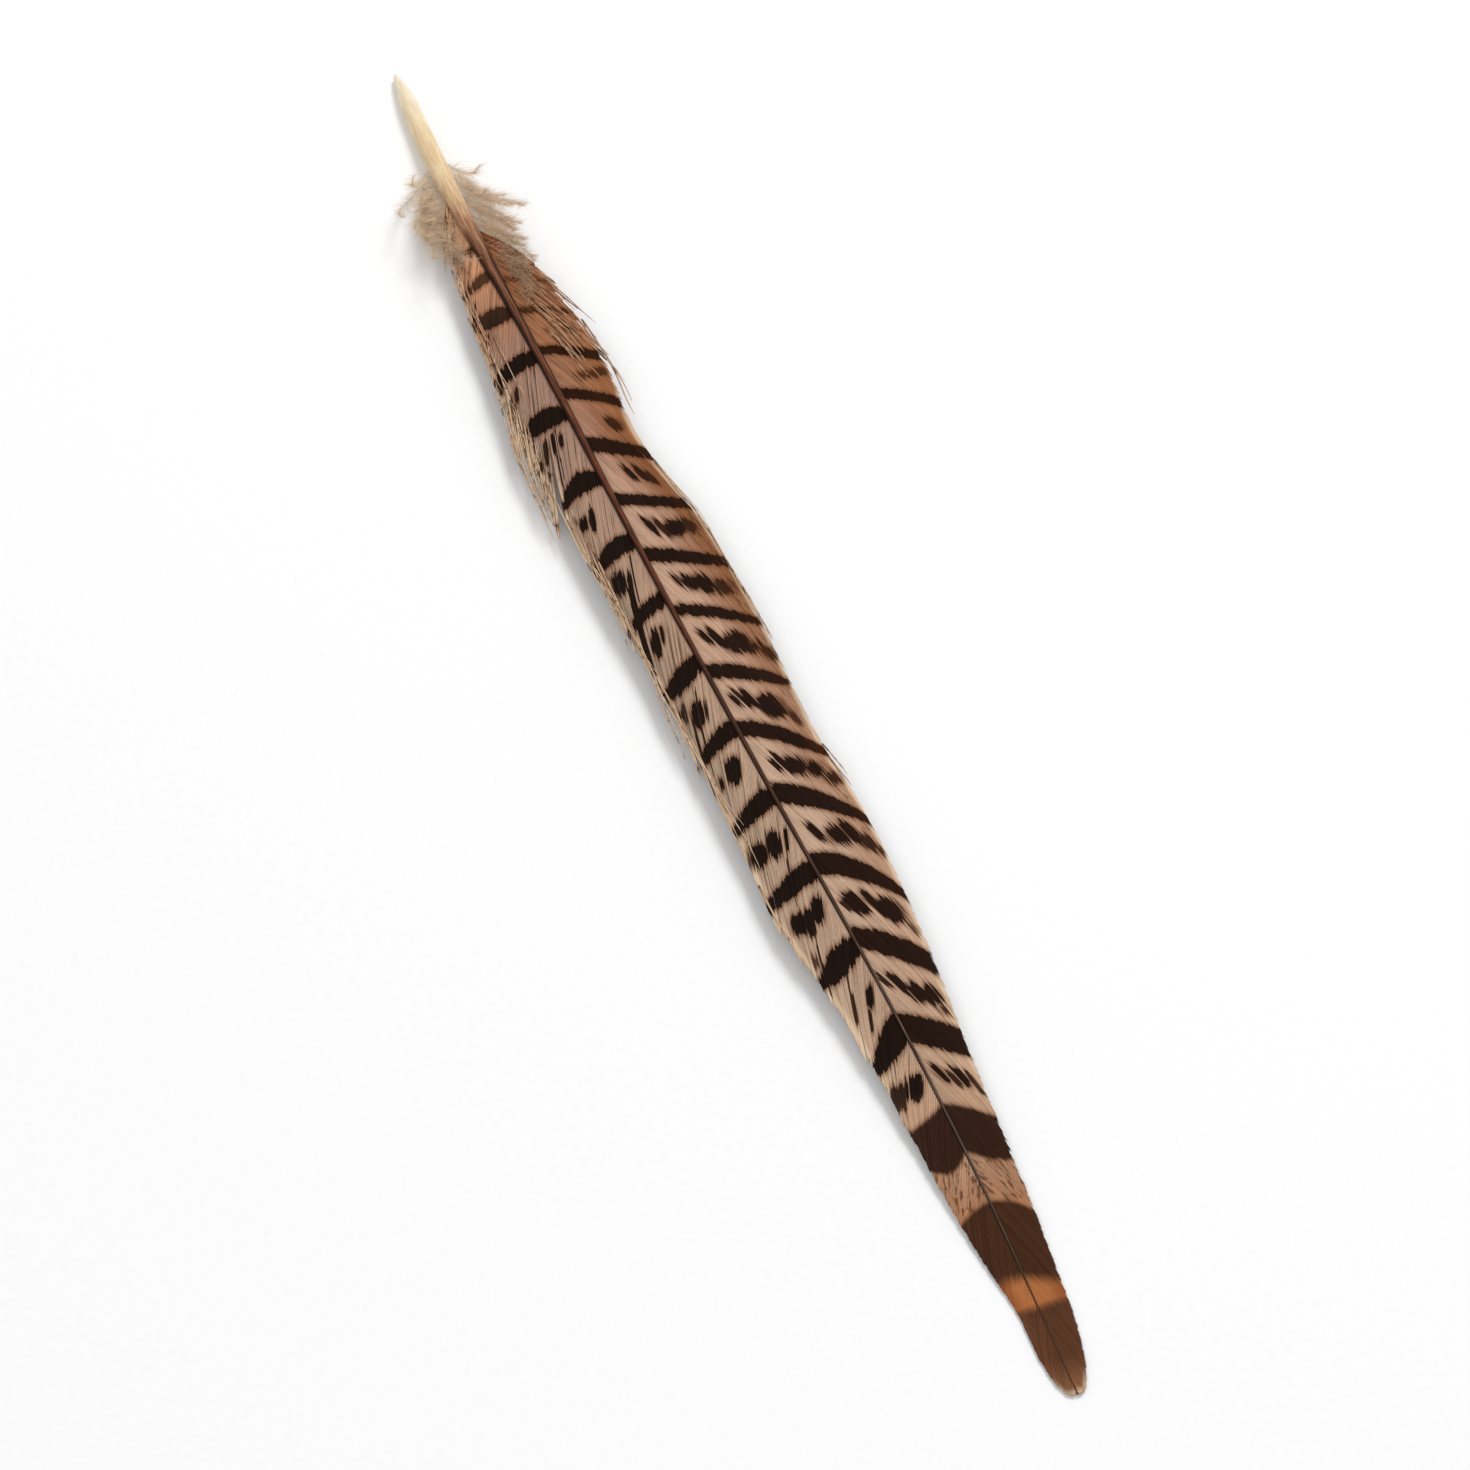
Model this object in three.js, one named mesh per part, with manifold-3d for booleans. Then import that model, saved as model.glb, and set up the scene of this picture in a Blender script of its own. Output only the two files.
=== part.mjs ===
// A pheasant's tail feather lying on its hollow side.
//
// Millimetres. While it is built, X runs along the feather from the quill's end (0) to the tip (LENGTH),
// Y runs across it, with the wide vane on +Y and the narrow one on -Y, and Z is up from the surface that
// it lies on. The finished solid is moved so that the origin is the centre of its footprint.
//
// The feather grew as one piece, so it is one solid: a tapered, bowed shaft, two vanes of overlapping
// locks of barbs, and loose locks of down at the foot of the vanes.

import * as THREE from "three";
import { mergeVertices } from "three/addons/utils/BufferGeometryUtils.js";
import Module from "manifold-3d";

const wasm = await Module();
wasm.setup();

// Driving dimensions. A list holds [distance from the quill's end, value] pairs on a smooth curve.
const LENGTH = 258;
const SHAFT_HEIGHT = [[0, 0.6], [10, 1.0], [30, 2.4], [75, 4.6], [130, 5.4], [190, 3.8], [228, 0.9],
  [242, 0.15], [LENGTH, 0.15]];
const SHAFT_BOW = [[0, 0], [30, -1.3], [75, -1.5], [105, -1.7], [150, -1.0], [205, 0.9], [228, 1.1],
  [LENGTH, 0]];

// The shaft: a round pointed quill, then a rachis that narrows to a hair and is deeper than it is wide.
const SHAFT_END = 257.5;
const SHAFT_RADIUS = [[0, 0.3], [3, 0.85], [9, 1.25], [22, 1.4], [40, 1.15], [60, 0.75], [125, 0.45],
  [SHAFT_END, 0.25]];
const SHAFT_DEPTH = [[0, 1], [30, 1], [70, 1.35], [200, 1.5], [SHAFT_END, 1.5]];
const SHAFT_STEPS = 26;
const SHAFT_SIDES = 8;

// The vanes. A barb leaves the shaft at its root, sweeps forward by its run, and ends at the vane's margin,
// which lies so far out from the shaft. A lock is a strip of barbs zipped together, and a web is a row of
// locks that still hold together: between two webs the vane has come unzipped, and the end of the web
// nearer the quill stands off.
const BARB_SWEEP = 0.15;
const BARB_SPREAD = 0.25;
const BARB_STEPS = 5;
const ROOT_GAP = 0.1;
const VANE_THICKNESS = 0.45;
const LOCK_PITCH = 8;
const LOCK_BENDS = [0, 0.45, 0.88];
const LOCK_LIFT = 0.3;
const LOCK_POINT = 0.09;
const WEB_OVERLAP = 0.3;
const CAMBER = [[40, 0.5], [70, 1.6], [110, 2.5], [165, 2.4], [200, 1.3], [228, 0.35], [242, 0]];
const CAMBER_POWER = 1.6;
const WIDE_VANE = {
  side: 1,
  firstRoot: 37.2,
  margin: [[50, 7.2], [60, 8.6], [72, 9.4], [83, 8.1], [92, 8.8], [104, 10.8], [123, 11.5], [137, 10.9],
    [150, 10.4], [162, 11.2], [176, 10.3], [190, 8.6], [205, 6.9], [220, 5.6], [240, 4.2], [250, 3.3],
    [255, 2.0], [257, 1.0], [LENGTH, 0.2]],
  run: [[36, 12], [50, 24], [66, 36], [84, 44], [110, 45], [130, 42], [152, 34], [176, 26], [200, 19],
    [225, 14.5], [240, 11.5], [250, 6.5], [256, 2]],
  webs: [{ locks: 4, parting: 0.8 }, { locks: 18, parting: 0.5 }, { locks: 5, parting: 0 }],
};
const NARROW_VANE = {
  side: -1,
  firstRoot: 29.2,
  margin: [[38, 3.6], [46, 5.0], [58, 6.4], [74, 7.5], [92, 7.1], [110, 6.7], [126, 6.1], [150, 6.3],
    [163, 6.8], [176, 7.5], [190, 6.2], [205, 5.5], [220, 5.1], [234, 4.1], [243, 2.8], [252, 2.5],
    [255, 2.1], [257, 1.2], [LENGTH, 0.2]],
  run: [[28, 9], [36, 13], [50, 22], [66, 30], [85, 31], [145, 30], [165, 25], [185, 19], [204, 15],
    [225, 12], [242, 9.5], [250, 6], [256, 2]],
  webs: [
    { locks: 5, parting: 2.8 }, { locks: 3, parting: 0.6 }, { locks: 3, parting: 0.8 },
    { locks: 4, parting: 0.6 }, { locks: 4, parting: 0.5 }, { locks: 9, parting: 0 },
  ],
};

// Down: loose curling locks at the foot of both vanes.
const DOWN_LOCKS = 7;
const DOWN_ROOTS = [24, 46];
const DOWN_START = 0.6;
const DOWN_LENGTH = [9, 13];
const DOWN_WIDTH = 2.2;
const DOWN_TIP_WIDTH = 0.7;
const DOWN_THICKNESS = 0.6;
const DOWN_RISE = 4.6;
const DOWN_STEPS = 6;

// The value at x of the smooth curve through a list of pairs, level beyond its two ends.
function valueAt(pairs, x) {
  const last = pairs.length - 1;
  if (x <= pairs[0][0]) return pairs[0][1];
  if (x >= pairs[last][0]) return pairs[last][1];
  const i = pairs.findIndex(([at]) => at > x) - 1;
  const [x0, y0] = pairs[i];
  const [x1, y1] = pairs[i + 1];
  const slope = (a, b) => (b[1] - a[1]) / (b[0] - a[0]);
  const here = slope(pairs[i], pairs[i + 1]);
  const start = i > 0 ? (here + slope(pairs[i - 1], pairs[i])) / 2 : here;
  const end = i + 1 < last ? (here + slope(pairs[i + 1], pairs[i + 2])) / 2 : here;
  const step = x1 - x0;
  const t = (x - x0) / step;
  const eased = t * t * (3 - 2 * t);
  return y0 + (y1 - y0) * eased + step * t * (1 - t) * (start * (1 - t) - end * t);
}

// A number between -1 and 1 that looks random but is always the same for the same seed.
function scatter(seed) {
  const wave = Math.sin(seed * 12.9898) * 43758.5453;
  return 2 * (wave - Math.floor(wave)) - 1;
}

// Moves every vertex of a geometry by a function that changes the point it is given.
function reshape(geometry, place) {
  const positions = geometry.attributes.position;
  const point = new THREE.Vector3();
  for (let i = 0; i < positions.count; i += 1) {
    point.fromBufferAttribute(positions, i);
    place(point);
    positions.setXYZ(i, point.x, point.y, point.z);
  }
  return geometry;
}

// A closed geometry as a solid that can be joined and cut.
function toSolid(geometry) {
  geometry.deleteAttribute("normal");
  geometry.deleteAttribute("uv");
  const merged = mergeVertices(geometry, 1e-5);
  const triangles = [];
  for (let i = 0; i < merged.index.count; i += 3) {
    const corners = [0, 1, 2].map((k) => merged.index.getX(i + k));
    if (new Set(corners).size === 3) triangles.push(...corners);
  }
  return new wasm.Manifold(new wasm.Mesh({
    numProp: 3,
    vertProperties: new Float32Array(merged.attributes.position.array),
    triVerts: new Uint32Array(triangles),
  }));
}

// A block one unit each way and cut in steps along its length, as u, v from 0 to 1 and w from -0.5 to 0.5.
function blade(steps, rows, place) {
  return reshape(new THREE.BoxGeometry(1, 1, 1, steps, rows, 1), (point) => {
    place(point, point.x + 0.5, point.y + 0.5, point.z);
  });
}

// The shaft is turned about its own axis, laid along X, deepened, and bent to its height and bow.
function shaft() {
  const profile = [new THREE.Vector2(0, 0)];
  for (let i = 0; i <= SHAFT_STEPS; i += 1) {
    const x = SHAFT_END * (i / SHAFT_STEPS) ** 1.25;
    profile.push(new THREE.Vector2(valueAt(SHAFT_RADIUS, x), x));
  }
  profile.push(new THREE.Vector2(0, SHAFT_END));
  const geometry = new THREE.LatheGeometry(profile, SHAFT_SIDES, Math.PI / SHAFT_SIDES);
  geometry.rotateZ(-Math.PI / 2);
  return reshape(geometry, (point) => {
    point.y += valueAt(SHAFT_BOW, point.x);
    point.z = point.z * valueAt(SHAFT_DEPTH, point.x) + valueAt(SHAFT_HEIGHT, point.x);
  });
}

// One web of a vane. Each lock's edge nearer the quill is lifted over the lock before it, and its end
// is rounded, so the margin is scalloped.
function web(vane, firstLock, { locks, parting }) {
  const columns = LOCK_BENDS.length * locks - 1;
  return blade(BARB_STEPS, columns, (point, u, v, w) => {
    const column = Math.round(columns * (vane.side > 0 ? 1 - v : v));
    const inWeb = Math.floor(column / LOCK_BENDS.length);
    const bend = LOCK_BENDS[column % LOCK_BENDS.length];
    const share = bend + (column === columns ? WEB_OVERLAP : 0);
    const root = vane.firstRoot + LOCK_PITCH * (firstLock + inWeb + share);
    const ragged = 0.03 * scatter(firstLock + inWeb + 31 * vane.side);
    const far = u * (1 + ragged - LOCK_POINT * (2 * bend - 1) ** 2);
    const run = valueAt(vane.run, root);
    const along = root + run * far * (1 - BARB_SWEEP * (1 - far));
    const loose = parting * far ** 3 * (column / columns) ** 4;
    const spread = valueAt(vane.margin, root + run) * far * (1 + BARB_SPREAD * (1 - far));
    const out = spread + loose + ROOT_GAP * (1 - u);
    const station = Math.min(along, LENGTH);
    const widest = Math.max(valueAt(vane.margin, station), 1);
    const droop = valueAt(CAMBER, station) * Math.min(Math.abs(out) / widest, 1.2) ** CAMBER_POWER;
    const shingle = LOCK_LIFT * (0.5 - bend) * Math.min(1, 3 * u);
    point.set(
      station,
      vane.side * out + valueAt(SHAFT_BOW, station),
      valueAt(SHAFT_HEIGHT, station) - droop + shingle + w * VANE_THICKNESS,
    );
  });
}

// One lock of down: a narrow blade that leaves the shaft steeply, tapers, and curls up and forward.
function downLock(side, number) {
  const share = number / (DOWN_LOCKS - 1);
  const root = THREE.MathUtils.lerp(...DOWN_ROOTS, share) + scatter(number + side) * 0.8;
  const length = THREE.MathUtils.lerp(...DOWN_LENGTH, 0.5 + 0.5 * scatter(3 * number + side));
  const lean = THREE.MathUtils.degToRad(THREE.MathUtils.lerp(62, 38, share) + 8 * scatter(number * 5 + side));
  const rise = DOWN_RISE * (0.5 + 0.5 * scatter(number * 7 + side));
  return blade(DOWN_STEPS, 1, (point, u, v, w) => {
    const turn = lean - 0.5 * u;
    const width = THREE.MathUtils.lerp(DOWN_WIDTH, DOWN_TIP_WIDTH, u);
    const edge = (side > 0 ? 0.5 - v : v - 0.5) * width;
    const along = root + length * u * Math.cos(turn) + edge * Math.sin(turn);
    const out = DOWN_START + length * u * Math.sin(turn) - edge * Math.cos(turn);
    const curl = rise * u * u - 1.4 * Math.sin(Math.PI * u) * (1 - share);
    point.set(
      along,
      side * out + valueAt(SHAFT_BOW, along),
      valueAt(SHAFT_HEIGHT, root) + curl + w * DOWN_THICKNESS,
    );
  });
}

// Everything below the surface that the feather lies on.
function ground() {
  const depth = 10;
  const slab = new THREE.BoxGeometry(2 * LENGTH, LENGTH, depth);
  return slab.translate(LENGTH / 2, 0, -depth / 2);
}

function feather() {
  let body = toSolid(shaft());
  for (const vane of [WIDE_VANE, NARROW_VANE]) {
    let firstLock = 0;
    for (const piece of vane.webs) {
      body = body.add(toSolid(web(vane, firstLock, piece)));
      firstLock += piece.locks;
    }
    for (let number = 0; number < DOWN_LOCKS; number += 1) {
      body = body.add(toSolid(downLock(vane.side, number)));
    }
  }
  const { vertProperties, triVerts } = body.subtract(toSolid(ground())).getMesh();
  const geometry = new THREE.BufferGeometry();
  geometry.setAttribute("position", new THREE.BufferAttribute(vertProperties, 3));
  geometry.setIndex(new THREE.BufferAttribute(triVerts, 1));
  geometry.computeBoundingBox();
  const { min, max } = geometry.boundingBox;
  geometry.translate(-(min.x + max.x) / 2, -(min.y + max.y) / 2, -min.z);
  geometry.computeVertexNormals();
  return geometry;
}

const barred = new THREE.MeshStandardMaterial({ color: 0x8a6f58, roughness: 0.75, metalness: 0 });
const mesh = new THREE.Mesh(feather(), barred);
mesh.name = "feather";

const part = new THREE.Group();
part.add(mesh);

export default part;
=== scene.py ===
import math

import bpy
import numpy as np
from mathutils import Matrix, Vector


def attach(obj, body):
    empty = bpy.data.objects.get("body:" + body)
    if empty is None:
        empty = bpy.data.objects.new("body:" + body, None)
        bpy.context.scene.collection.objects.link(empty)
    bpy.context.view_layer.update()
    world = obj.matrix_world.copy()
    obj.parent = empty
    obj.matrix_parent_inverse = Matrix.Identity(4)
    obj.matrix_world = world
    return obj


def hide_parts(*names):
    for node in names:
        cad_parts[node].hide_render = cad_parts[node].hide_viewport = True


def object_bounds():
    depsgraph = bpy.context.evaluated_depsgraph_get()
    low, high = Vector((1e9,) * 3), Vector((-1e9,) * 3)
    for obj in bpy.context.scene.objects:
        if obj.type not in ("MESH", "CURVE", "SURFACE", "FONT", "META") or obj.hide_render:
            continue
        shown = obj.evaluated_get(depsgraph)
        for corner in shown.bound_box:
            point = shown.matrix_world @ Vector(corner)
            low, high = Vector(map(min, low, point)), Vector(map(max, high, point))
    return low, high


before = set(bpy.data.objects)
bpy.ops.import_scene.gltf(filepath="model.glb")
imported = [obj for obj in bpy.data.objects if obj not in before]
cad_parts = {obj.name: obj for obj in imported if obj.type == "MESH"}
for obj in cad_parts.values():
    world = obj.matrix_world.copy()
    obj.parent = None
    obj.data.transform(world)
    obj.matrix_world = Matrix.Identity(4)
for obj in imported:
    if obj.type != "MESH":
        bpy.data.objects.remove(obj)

# A pheasant's tail feather, lying on a pale table with its hollow side down.
#
# The feather is made in millimetres, as it grew: X runs from the quill's end (0) to the tip (LENGTH),
# Y runs across it with the wide vane on +Y, and Z is up from the table. to_frame moves it into the frame.
# The pieces are the shaft, the two vanes of single barbs, the barbs that have come loose, and the down.

CAD_LOW, CAD_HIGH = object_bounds()
MM = 0.001

# ---- driving dimensions (mm)
# A list of pairs holds (distance from the quill's end, value) on a smooth curve.
LENGTH = 258
SHAFT_END = 257.4
SHAFT_HEIGHT = [
    (0, 0.6), (10, 1), (30, 2.4), (75, 4.6), (130, 5.4), (190, 3.8), (228, 0.9), (242, 0.15),
    (LENGTH, 0.15)]
SHAFT_BOW = [(0, 0), (30, -1.3), (75, -1.5), (105, -1.7), (150, -1), (205, 0.9), (228, 1.1), (LENGTH, 0)]
SHAFT_WIDTH = [
    (0, 0.5), (1.5, 1.2), (5, 2.1), (12, 2.7), (24, 2.85), (36, 2.45), (46, 1.9), (57, 1.4), (80, 1.05),
    (125, 0.72), (180, 0.48), (230, 0.3), (SHAFT_END, 0.16)]
SHAFT_DEPTH = [(0, 0.95), (30, 1), (70, 1.3), (200, 1.45), (SHAFT_END, 1.3)]

# The barbs. A barb leaves the shaft at its root, sweeps forward by its run, and ends at the vane's margin.
# It starts out steeply and bends towards the tip: these are shares of its run and of its reach.
BARB_SWEEP = 0.15
BARB_SPREAD = 0.25
# Roots are BARB_PITCH apart. A barb is BARB_OVERLAP times as wide as the space it has, within BARB_WIDTHS,
# and leans by BARB_TILT degrees, so that its far edge lies over the next one.
BARB_PITCH = 0.55
BARB_RINGS = 48
BARB_OVERLAP = 1.36
BARB_WIDTHS = (0.2, 0.6)
BARB_TILT = 9
# The fewest and the most neighbours that cling together, as a flock.
FLOCK_SIZES = (3, 8)
# A web's frayed end reaches back over about this many mm of the barbs' roots.
PARTING_REACH = 5.5
# The feather's end is rounded off: the barbs stop so much sooner for each square mm out from the shaft.
TIP_ROUNDING = 0.3
LOOSE_BARB_WIDTH = 0.27
# How far the vanes' margins hang below the shaft.
CAMBER = [(40, 0.5), (70, 1.6), (110, 2.5), (165, 2.4), (200, 1.3), (228, 0.35), (242, 0)]
CAMBER_POWER = 1.6

# side: +1 or -1 along Y. roots: where the vane's first and last barbs leave the shaft.
# loose_to: nearer the quill than this, the barbs are loose and uneven, and some stray by a share, stray.
# cling: how far a flock's outer barbs draw in towards its middle, as a share of the pitch.
# margin and run: how far out the margin lies, and how far forward a barb from there ends.
# partings: where a web of barbs ends, by its last root, and how far its end stands off from the next web.
# bars: distance from the quill's end of a dark bar's middle at the shaft, half-way out and at the margin,
# then its width at those three places. The last three are the broad bands at the tip.
# blotches: a dark mark's place along the shaft and out from it, its length along the barbs, its width
# across them, and its strength where that is below 1. Long thin ones are painted shade: dark slits where
# barbs have parted.
WIDE_VANE = {
    "name": "wide_vane",
    "side": 1,
    "roots": (38, 257),
    "loose_to": 56,
    "stray": 0.035,
    "cling": 0.1,
    "margin": [
        (50, 7.2), (60, 8.6), (72, 9.4), (83, 8.1), (92, 8.8), (104, 10.8), (123, 11.5), (137, 10.9),
        (150, 10.4), (162, 11.2), (176, 10.3), (190, 8.6), (205, 6.9), (220, 5.6), (240, 4.2), (250, 3.3),
        (255, 2), (257, 1.1), (LENGTH, 0.5)],
    "run": [
        (36, 12), (50, 24), (66, 36), (84, 44), (110, 45), (130, 42), (152, 34), (176, 26), (200, 19),
        (225, 14.5), (240, 11.5), (250, 6.5), (256, 2), (257.2, 0.6)],
    "partings": [(69.2, 0.35), (213.2, 0.1)],
    "bars": [
        (50, 50.8, 52.6, 1.4, 1.2, 0.8), (57.3, 58, 59.7, 1.6, 1.3, 0.9),
        (66.2, 67.6, 69.8, 1.8, 2.3, 2.3), (75.9, 77.3, 79.3, 2.3, 2.2, 1.9),
        (86.9, 88.4, 90, 2.9, 3.2, 2.8), (98.5, 100, 101, 2.6, 2.4, 2.3),
        (110.1, 111.8, 113.3, 2.8, 2.7, 1.9), (121.3, 123.1, 125.5, 2.1, 2.4, 1.5),
        (133.4, 135, 137.3, 2.3, 2.8, 1.4), (144.5, 146.7, 150.5, 2.5, 3.3, 2.2),
        (156.9, 159.2, 163.9, 3.3, 4, 1.8), (169.9, 172, 177.5, 3.4, 4.3, 2),
        (183, 185.7, 189.5, 3.6, 4.6, 4), (198.5, 200.5, 202.6, 4.4, 5.3, 4.4),
        (214.8, 216.6, 218, 7.5, 8.2, 6.6), (233.6, 234.5, 236.1, 13.6, 13.9, 12.8),
        (260, 260, 260, 34, 34, 34)],
    "blotches": [
        (62.7, 6.6, 1.7, 1.3, 0.5), (72.5, 7.2, 1.7, 2.2, 0.6), (72.6, 4.9, 1.5, 1.6, 0.5),
        (83.2, 5.6, 2.4, 1.8, 0.8),
        (93.9, 4, 3, 0.8), (94, 5.7, 3.6, 1.3, 0.9), (95, 6.8, 2.8, 1, 0.8),
        (104.6, 3.1, 4.1, 1), (105.4, 4.6, 3.7, 0.9, 0.9), (105.5, 6.6, 3.1, 3),
        (105.4, 8.5, 2.4, 2.3, 0.8),
        (115.9, 2.7, 2.8, 0.7), (116.5, 4.4, 2.9, 2), (117.2, 6.3, 3.7, 2.5),
        (118, 8.5, 2.8, 2.8, 0.8),
        (127.1, 2.4, 3.2, 0.9), (127.5, 3.8, 4.4, 1.2), (128.9, 6.3, 3.9, 3.8),
        (129.9, 8.3, 1.9, 2.2, 0.9), (131.2, 10, 2.5, 2.3, 0.8),
        (139.4, 1.8, 2.5, 0.8), (138.3, 2.6, 1.9, 0.4, 0.9), (139.4, 3.6, 3.4, 1.5),
        (141.1, 6.4, 4.2, 3.5), (143.5, 8.6, 3.1, 1.1, 0.8),
        (151.9, 2.5, 2.1, 0.7), (151.4, 3.4, 3.3, 0.8), (152.4, 5.2, 3.4, 2.9),
        (153.4, 7.4, 2.6, 2.8), (155.2, 9.2, 2.4, 2.3, 0.9),
        (164.4, 2.7, 3.6, 1.3), (165.6, 5.4, 3.6, 2.8), (165.3, 7.3, 4.5, 1.6),
        (167.4, 8.9, 3, 1.9, 0.9), (168.9, 10.1, 2, 1.1, 0.8),
        (177.6, 1.3, 2.1, 0.6, 0.9), (177.4, 3, 3.8, 2.3), (177.9, 5, 4.9, 1.1),
        (179.3, 7, 4.5, 2.6), (182.7, 8.4, 1.8, 0.7, 0.5),
        (190.6, 1.1, 2.4, 0.7, 0.9), (191.4, 2.5, 4.4, 1.2), (193.4, 4.1, 3.6, 1.9),
        (194.1, 5.8, 3.2, 2), (196.8, 6.5, 1.2, 0.7, 0.8),
        (206.3, 1.9, 3.3, 1.1), (207.7, 3.1, 3.2, 0.8, 0.9), (207.4, 4.2, 4, 0.8),
        (208.9, 5.6, 3.8, 0.7, 0.9)],
    "seed": 11,
}
NARROW_VANE = {
    "name": "narrow_vane",
    "side": -1,
    "roots": (30, 257),
    "loose_to": 42,
    "stray": 0.1,
    "cling": 0.16,
    "margin": [
        (38, 3.6), (46, 5), (58, 6.4), (74, 7.5), (92, 7.1), (110, 6.7), (126, 6.1), (150, 6.3),
        (163, 6.8), (176, 7.5), (190, 6.2), (205, 5.5), (220, 5.1), (234, 4.1), (243, 2.8), (252, 2.5),
        (255, 2.1), (257, 1.3), (LENGTH, 0.6)],
    "run": [
        (28, 9), (36, 13), (50, 22), (66, 30), (85, 31), (145, 30), (165, 25), (185, 19), (204, 15),
        (225, 12), (242, 9.5), (250, 6), (256, 2), (257.2, 0.6)],
    "partings": [(69.2, 2.8), (93.2, 0.5), (117.2, 0.6), (149.2, 0.5), (181.2, 0.4)],
    "bars": [
        (42, 42.3, 42.8, 1, 1.2, 1), (48.3, 49.2, 51.2, 2.1, 2.2, 1.3), (57.3, 57, 57.7, 2.2, 3.6, 2),
        (67.4, 67.8, 69.6, 2.6, 3.4, 1.8), (80.1, 79.7, 81.9, 2.2, 3.9, 1.2),
        (94.3, 93.6, 96.7, 2.7, 3.7, 0.8), (107.1, 107.3, 109.3, 2.8, 3.3, 1),
        (118.7, 119.5, 121.3, 2.8, 2.6, 1.2), (131.3, 132.7, 134.1, 2.5, 3.7, 1.5),
        (144.1, 145.1, 147, 2.6, 3, 1), (157.2, 158, 159.7, 3.1, 3.2, 1.7),
        (170.6, 171.6, 173.1, 3.1, 3.3, 2.1), (184.1, 185.8, 187.7, 2.8, 4.3, 1.4),
        (198.2, 200.5, 203, 4.4, 4.6, 1.4), (214.9, 216.7, 216.4, 7.4, 8.4, 6.5),
        (233.5, 233.8, 234.4, 13.3, 12.8, 11.6), (260, 260, 260, 34, 34, 34)],
    "blotches": [
        (72.7, 5.2, 2.5, 0.7, 0.9), (73, 6.4, 2.2, 0.6, 0.9), (75, 6.5, 1.4, 0.5, 0.9),
        (74.8, 7.4, 1.6, 0.5, 0.9), (77.2, 7.1, 1.5, 0.4, 0.9), (70.6, 6.9, 1.4, 0.5, 0.9),
        (61, 5.4, 3, 0.4, 0.8), (54.6, 5.2, 4.5, 0.6, 0.9),
        (84.4, 2.7, 2.4, 0.5), (84.3, 3.9, 3.5, 0.6), (85.1, 5.2, 4.1, 0.7, 0.9),
        (86.9, 6.7, 1.7, 0.4, 0.9), (90.7, 5.6, 1.3, 0.4, 0.8),
        (100.3, 3.8, 3.9, 0.8), (100.1, 4.8, 2.1, 1.3),
        (112.7, 4.5, 3.7, 2),
        (124.2, 2.7, 3.1, 0.6), (125, 3.9, 4.9, 1.2),
        (139.2, 3.4, 3.9, 1.9), (137.8, 5, 1.9, 0.9, 0.9),
        (150.4, 3, 4.2, 1.8), (151.3, 4.9, 2.3, 0.7),
        (164.2, 1.4, 2.9, 0.6), (164.3, 3.2, 4.6, 1.9), (164.6, 5.2, 3.7, 2.5),
        (176.7, 2.4, 3.7, 1.5), (177.9, 3.9, 4.9, 1.2), (177.3, 5.3, 3, 1.8),
        (183.8, 5.5, 1.3, 0.5, 0.6),
        (192.2, 1.9, 4, 0.9), (195.4, 3.1, 4.1, 0.4, 0.9), (192.9, 4.2, 4.9, 0.5, 0.9),
        (207.3, 2.2, 3.9, 2.1), (207.7, 4.4, 4, 1.6, 0.9),
        # Painted shade: these long thin marks are dark slits where barbs have parted.
        (84, 3.2, 16, 0.16, 0.8), (89, 4.6, 15, 0.18, 0.9), (113, 2.5, 18, 0.18, 0.9),
        (121.5, 4.8, 21, 0.75), (143, 4.2, 16, 0.22, 0.9), (146, 5.5, 14, 0.3, 0.9),
        (169, 3, 12, 0.16, 0.8), (189, 3.4, 11, 0.18, 0.8), (183.5, 4.9, 13, 0.2, 0.9)],
    "seed": 23,
}

# The blotches' places were read from the photo this much too near the quill. Their outline is an ellipse
# for a power of 2, and boxier above it.
BLOTCH_SHIFT = 0.25
BLOTCH_POWER = 2.4

# Down: so many loose plumes on each side, along the stretch of shaft given for that side, with so many
# barbules along each side of a stem.
DOWN_PLUMES = 26
DOWN_ROOTS = {1: (22, 44), -1: (22, 35.5)}
DOWN_LENGTH = (11, 16)
DOWN_STEM_WIDTH = 0.08
DOWN_BARBULES = 86
DOWN_BARBULE_LENGTH = 2.6
DOWN_BARBULE_WIDTH = 0.036


# ---- curves and noise
def value_at(pairs, x):
    """The value at x of the smooth curve through the pairs, level beyond its two ends."""
    xs, ys = np.array(pairs, float).T
    x = np.clip(np.asarray(x, float), xs[0], xs[-1])
    i = np.clip(np.searchsorted(xs, x, side="right") - 1, 0, len(xs) - 2)
    slopes = np.diff(ys) / np.diff(xs)
    start = np.where(i > 0, (slopes[i] + slopes[np.maximum(i - 1, 0)]) / 2, slopes[i])
    after = np.minimum(i + 1, len(slopes) - 1)
    end = np.where(i + 1 < len(xs) - 1, (slopes[i] + slopes[after]) / 2, slopes[i])
    step = xs[i + 1] - xs[i]
    t = (x - xs[i]) / step
    eased = t * t * (3 - 2 * t)
    return ys[i] + (ys[i + 1] - ys[i]) * eased + step * t * (1 - t) * (start * (1 - t) - end * t)


def through(three, share):
    """The parabola through a value at the shaft, one half-way out and one at the margin."""
    near, middle, far = three
    return near + share * (4 * middle - 3 * near - far) + 2 * share ** 2 * (near - 2 * middle + far)


def smooth(low, high, x):
    """0 below low, 1 above high, and an eased step between them."""
    t = np.clip((x - low) / (high - low), 0, 1)
    return t * t * (3 - 2 * t)


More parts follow.
